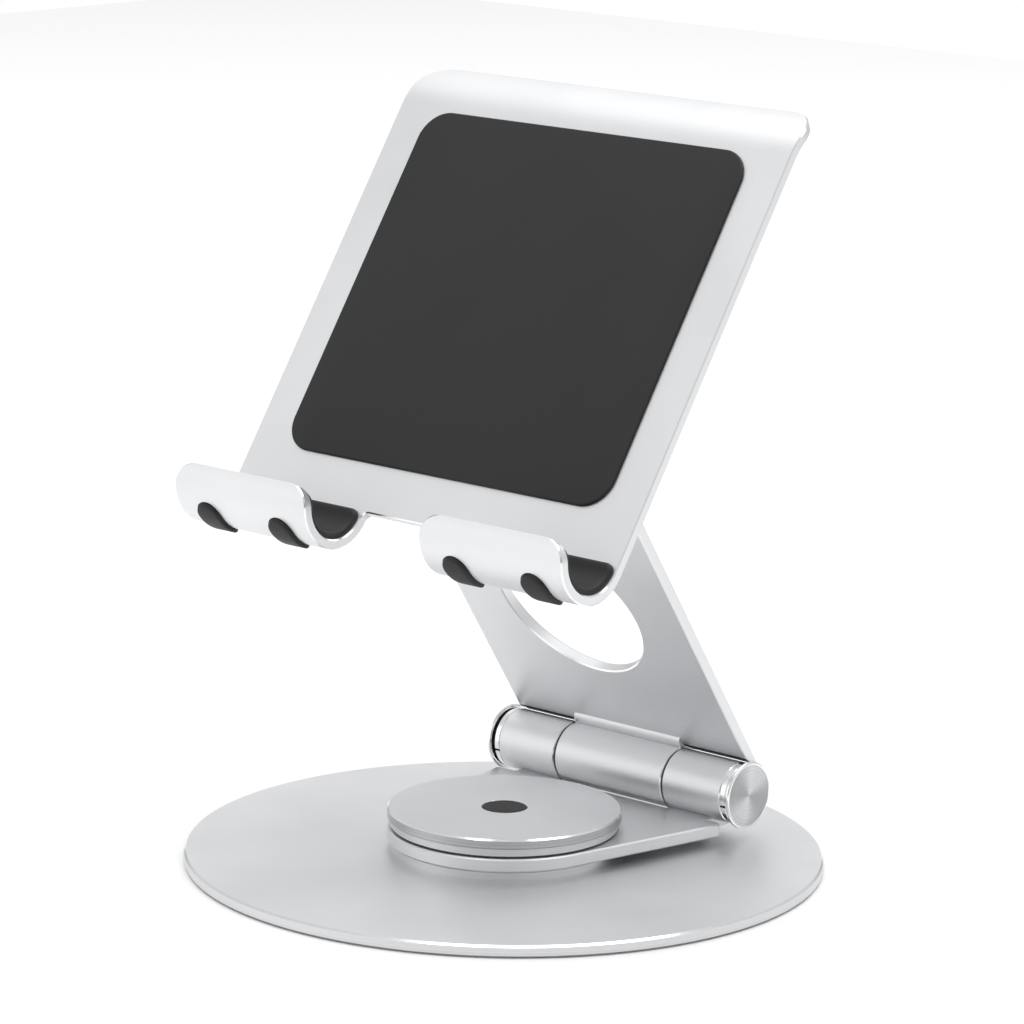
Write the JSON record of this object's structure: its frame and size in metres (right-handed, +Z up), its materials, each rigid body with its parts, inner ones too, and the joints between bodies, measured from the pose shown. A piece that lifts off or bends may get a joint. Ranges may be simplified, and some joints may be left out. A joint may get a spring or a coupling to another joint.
{
  "type": "folding tablet stand",
  "caption": "Folding tablet stand: hooked holder on a strut with two friction hinges, turning on a round base plate.",
  "frame": {"origin": "centre of the underside of the round base, on the swivel axis", "axes": "+X to the user's right along the hinge axes, +Y to the rear, +Z up"},
  "size_m": [0.16, 0.16, 0.1905],
  "materials": {
    "alu": "bead-blasted, silver anodised, edges cut bright",
    "spun": "turned, clear anodised",
    "steel": "plain turned",
    "silicone": "matt, smooth",
    "nylon": "smooth"
  },
  "bodies": {
    "base": {"base_disc": "alu", "base_pad": "silicone", "swivel_boss": "alu", "boss_screws": "steel", "pivot_bush": "steel", "pivot_screw": "steel", "pivot_spring_washer": "steel", "pivot_nut": "steel", "slip_washer_lower": "nylon", "slip_washer_upper": "nylon", "spacer_disc": "alu", "cap_disc": "alu", "cap_plug": "silicone"},
    "swivel": {"swivel_plate": "alu", "lower_bolt": "steel", "lower_nut": "steel", "lower_disc_springs": "steel", "lower_nylon_washers": "nylon", "lower_ring_left": "spun", "lower_ring_right": "spun", "lower_cap_left": "spun", "lower_cap_right": "spun"},
    "strut": {"strut": "alu", "strut_bush_lower": "nylon", "strut_bush_upper": "nylon"},
    "holder": {"holder_bracket": "alu", "upper_bolt": "steel", "upper_nut": "steel", "upper_disc_springs": "steel", "upper_nylon_washers": "nylon", "upper_ring_left": "spun", "upper_ring_right": "spun", "upper_cap_left": "spun", "upper_cap_right": "spun", "holder_plate": "alu", "bracket_screws": "steel", "face_pad": "silicone", "hook_liner_left": "silicone", "hook_liner_right": "silicone"}
  },
  "joints": [
    {"name": "swivel", "type": "hinge", "parent": "base", "child": "swivel", "pos_m": [0, 0, 0.0072], "axis": [0, 0, 1], "continuous": true},
    {"name": "strut_hinge", "type": "hinge", "parent": "swivel", "child": "strut", "pos_m": [0, 0.0473, 0.0152], "axis": [1, 0, 0], "range_deg": [-40, 36]},
    {"name": "holder_hinge", "type": "hinge", "parent": "strut", "child": "holder", "pos_m": [0, -0.01061, 0.09977], "axis": [1, 0, 0], "range_deg": [-108, 40]}
  ]
}
